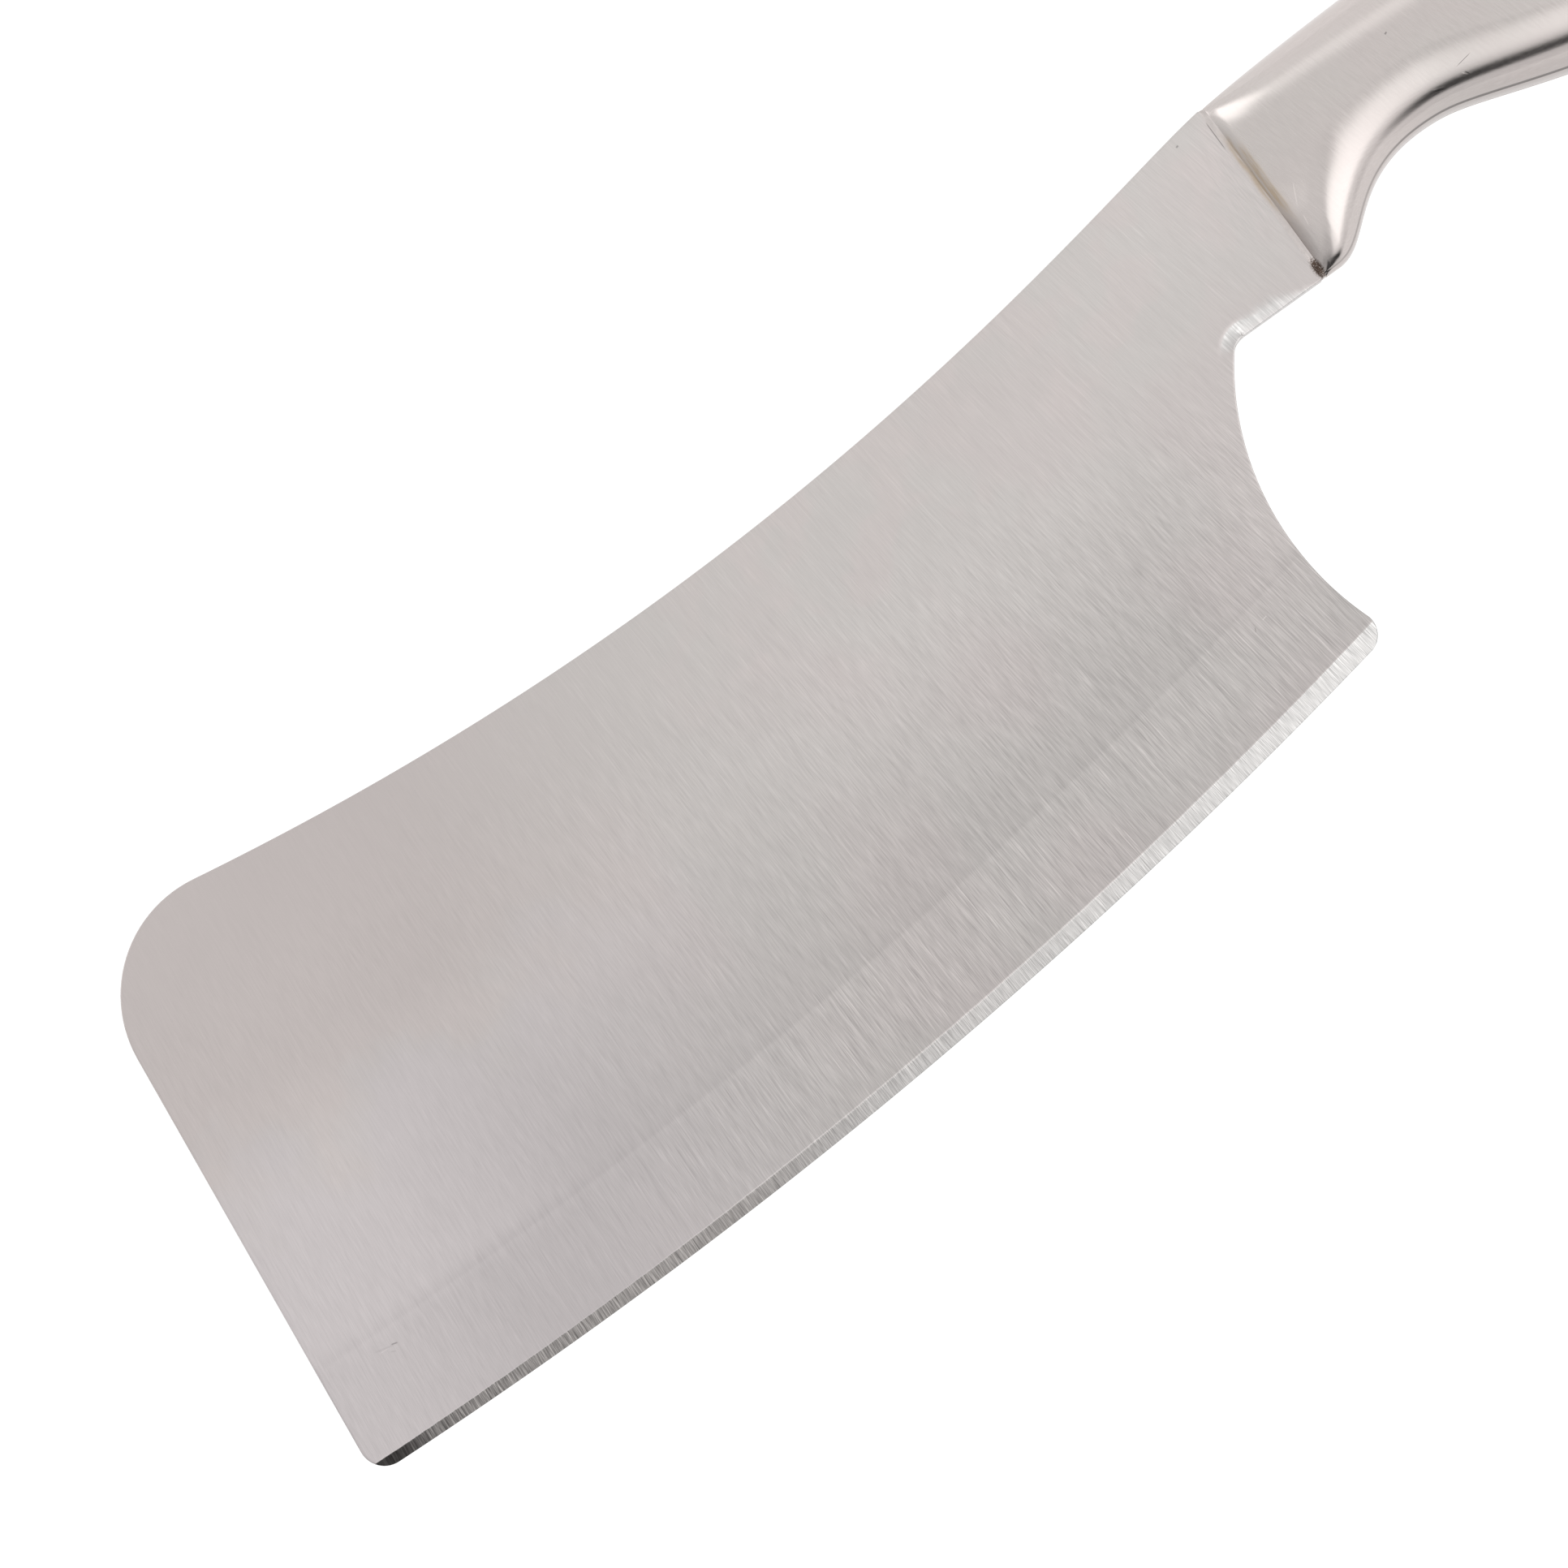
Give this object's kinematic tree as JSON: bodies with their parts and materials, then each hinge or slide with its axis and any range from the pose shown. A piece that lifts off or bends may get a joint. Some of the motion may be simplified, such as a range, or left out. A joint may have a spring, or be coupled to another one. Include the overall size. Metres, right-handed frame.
{
  "type": "chopping knife",
  "caption": "Broad steel chopping knife with a curved edge, a hollow behind the heel and a hollow welded steel handle with a finger groove.",
  "frame": {"origin": "under the middle of the knife, on the surface that the handle's left side lies on", "axes": "+X from the toe of the blade to the butt of the handle, +Y from the cutting edge to the spine, +Z out of the knife's right side"},
  "size_m": [0.3, 0.107, 0.0188],
  "materials": {
    "blade_steel": "fine straight brushing across the blade, with a ground bevel",
    "handle_steel": "soft satin polish",
    "weld_steel": "ground flush, with a little heat tint"
  },
  "bodies": {
    "root": {"blade": "blade_steel", "handle_shell_right": "handle_steel", "handle_shell_left": "handle_steel", "neck_weld": "weld_steel", "spine_seam_weld": "weld_steel", "belly_seam_weld": "weld_steel"}
  },
  "joints": []
}
